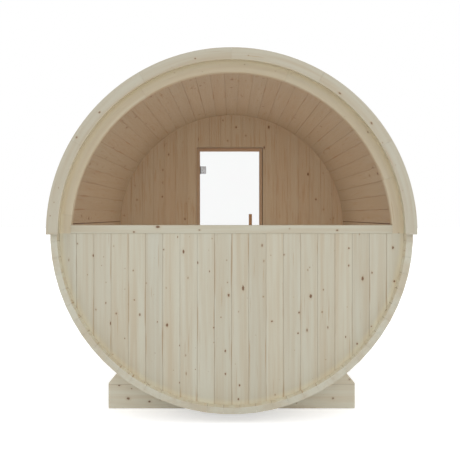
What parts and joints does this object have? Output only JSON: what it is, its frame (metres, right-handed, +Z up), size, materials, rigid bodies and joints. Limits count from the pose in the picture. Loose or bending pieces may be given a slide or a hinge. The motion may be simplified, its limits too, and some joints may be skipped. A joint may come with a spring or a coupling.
{
  "type": "barrel sauna",
  "caption": "Barrel sauna lying on two cradles: a round stave cabin with an arched roof edge, a half-moon window in one end and a hinged glass door in the other.",
  "frame": {"origin": "on the ground, in the middle of the footprint", "axes": "X is across the barrel, Y runs along the barrel from the window end to the door end, Z is up"},
  "size_m": [2.2338, 2.464, 2.2719],
  "materials": {
    "spruce": "planed, unfinished",
    "handle_wood": "oiled",
    "steel": "satin stainless steel",
    "glass": "clear tempered glass"
  },
  "bodies": {
    "sauna": {"staves_top": "spruce", "staves_left": "spruce", "staves_right": "spruce", "staves_bottom": "spruce", "roof_left": "spruce", "roof_crown": "spruce", "roof_right": "spruce", "rear_fascia": "spruce", "front_fascia": "spruce", "rear_half_wall": "spruce", "rear_arch": "spruce", "rear_sill": "spruce", "front_wall_left": "spruce", "front_wall_right": "spruce", "front_wall_over_door": "spruce", "front_wall_under_door": "spruce", "door_jamb_left": "spruce", "door_jamb_right": "spruce", "door_head": "spruce", "door_threshold": "spruce", "floor_slats": "spruce", "floor_bearers": "spruce", "rear_cradle": "spruce", "front_cradle": "spruce", "hoop_rear": "steel", "hoop_middle": "steel", "hoop_front": "steel", "hinge_brackets": "steel", "rear_window_glass": "glass"},
    "door": {"door_glass": "glass", "door_hinge_plates": "steel", "door_handle_inner": "handle_wood", "door_handle_outer": "handle_wood", "door_handle_spacers": "steel"}
  },
  "joints": [
    {"name": "door_hinge", "type": "hinge", "parent": "sauna", "child": "door", "pos_m": [-0.312, 1.162, 1.0776], "axis": [0, 0, 1], "range_deg": [0, 110]}
  ]
}
